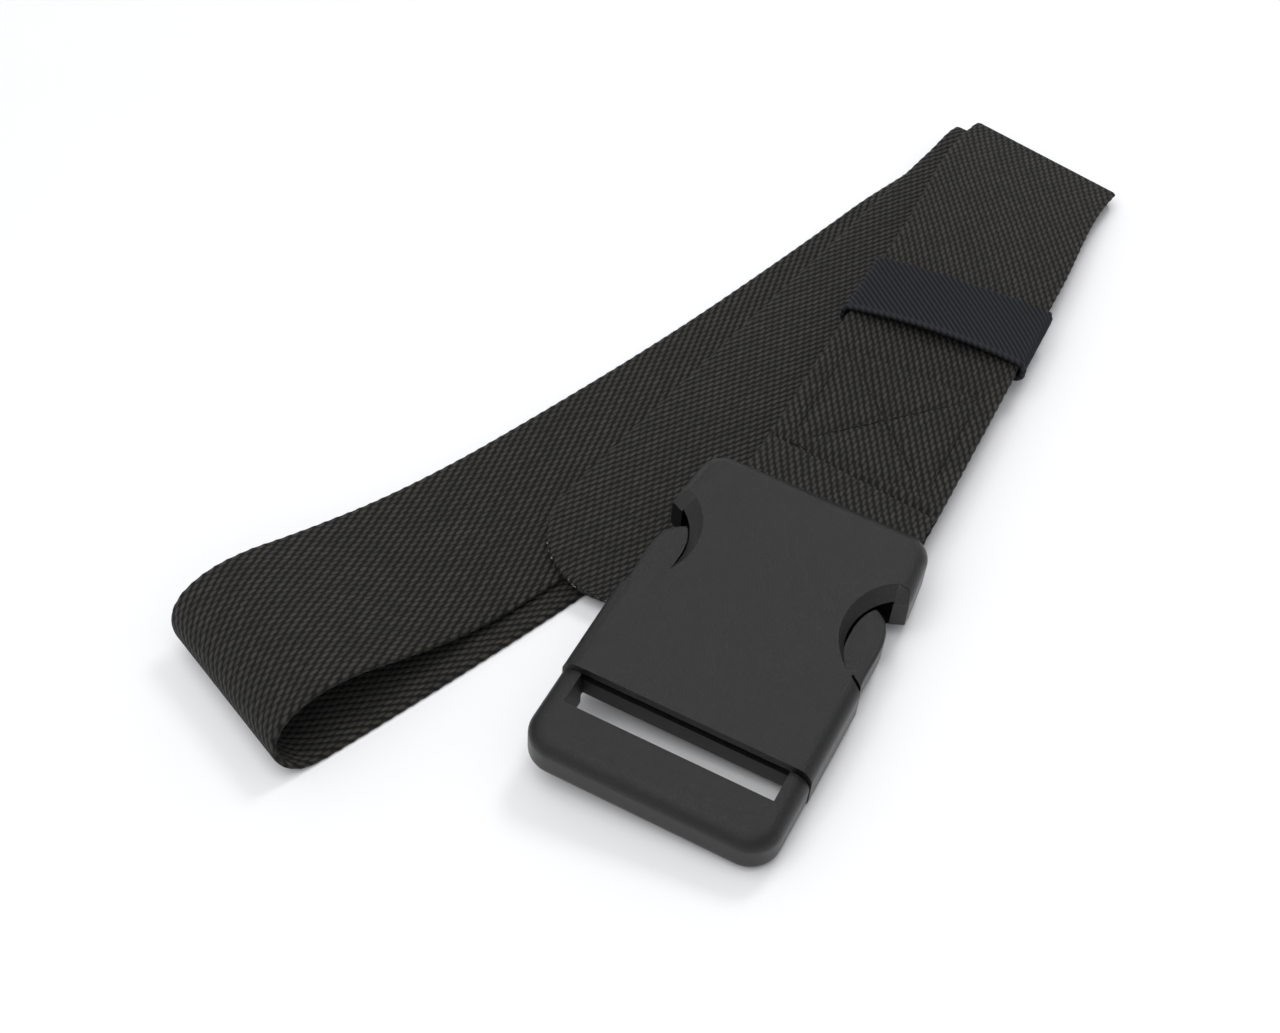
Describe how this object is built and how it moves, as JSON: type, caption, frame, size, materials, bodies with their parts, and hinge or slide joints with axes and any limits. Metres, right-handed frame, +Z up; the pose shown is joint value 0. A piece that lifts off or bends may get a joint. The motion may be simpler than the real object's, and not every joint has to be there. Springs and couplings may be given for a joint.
{
  "type": "dive weight belt",
  "caption": "Elastic webbing belt folded flat, sewn round the bar of a side-release buckle, with a sliding elastic keeper and a rounded free end.",
  "frame": {"origin": "bottom centre of the bounding box of the belt as it lies folded", "axes": "+Z up from the floor, +Y from the buckle's rail towards the first fold of the strap, +X to the right across the buckle"},
  "size_m": [0.1626, 0.3094, 0.0216],
  "materials": {
    "webbing": "coarse woven elastic webbing, matte, charcoal with a brown cast",
    "thread": "black sewing thread",
    "keeper_elastic": "finely ribbed elastic, matte, bluish black",
    "keeper_thread": "black sewing thread",
    "buckle_plastic": "black moulded plastic with a fine spark texture, satin"
  },
  "bodies": {
    "belt": {"strap": "webbing", "box_stitching": "thread"},
    "keeper": {"keeper_band": "keeper_elastic", "keeper_stitching": "keeper_thread"},
    "buckle_outer": {"female_buckle": "buckle_plastic"},
    "buckle_inner": {"male_frame": "buckle_plastic"},
    "arm_left": {"left_arm": "buckle_plastic"},
    "arm_right": {"right_arm": "buckle_plastic"}
  },
  "joints": [
    {"name": "keeper_slide", "type": "slide", "parent": "belt", "child": "keeper", "axis": [-0.0192, 0.9998, -0.0111], "range_m": [-0.046, 0.007]},
    {"name": "buckle_tilt", "type": "hinge", "parent": "belt", "child": "buckle_outer", "pos_m": [0.04819, -0.03415, 0.01215], "axis": [-0.9962, -0.0024, 0.0871], "range_deg": [0, 5]},
    {"name": "buckle_release", "type": "slide", "parent": "buckle_outer", "child": "buckle_inner", "axis": [0, -0.9996, -0.0279], "range_m": [0, 0.06], "deforming": ["left_arm", "right_arm"]},
    {"name": "left_arm_squeeze", "type": "hinge", "parent": "buckle_inner", "child": "arm_left", "pos_m": [0.02409, -0.09639, 0.01252], "axis": [-0.0872, 0.0278, -0.9958], "range_deg": [0, 9], "stiffness_Nm_per_rad": 1},
    {"name": "right_arm_squeeze", "type": "hinge", "parent": "buckle_inner", "child": "arm_right", "pos_m": [0.0723, -0.09627, 0.00831], "axis": [0.0872, -0.0278, 0.9958], "range_deg": [0, 9], "stiffness_Nm_per_rad": 1}
  ]
}
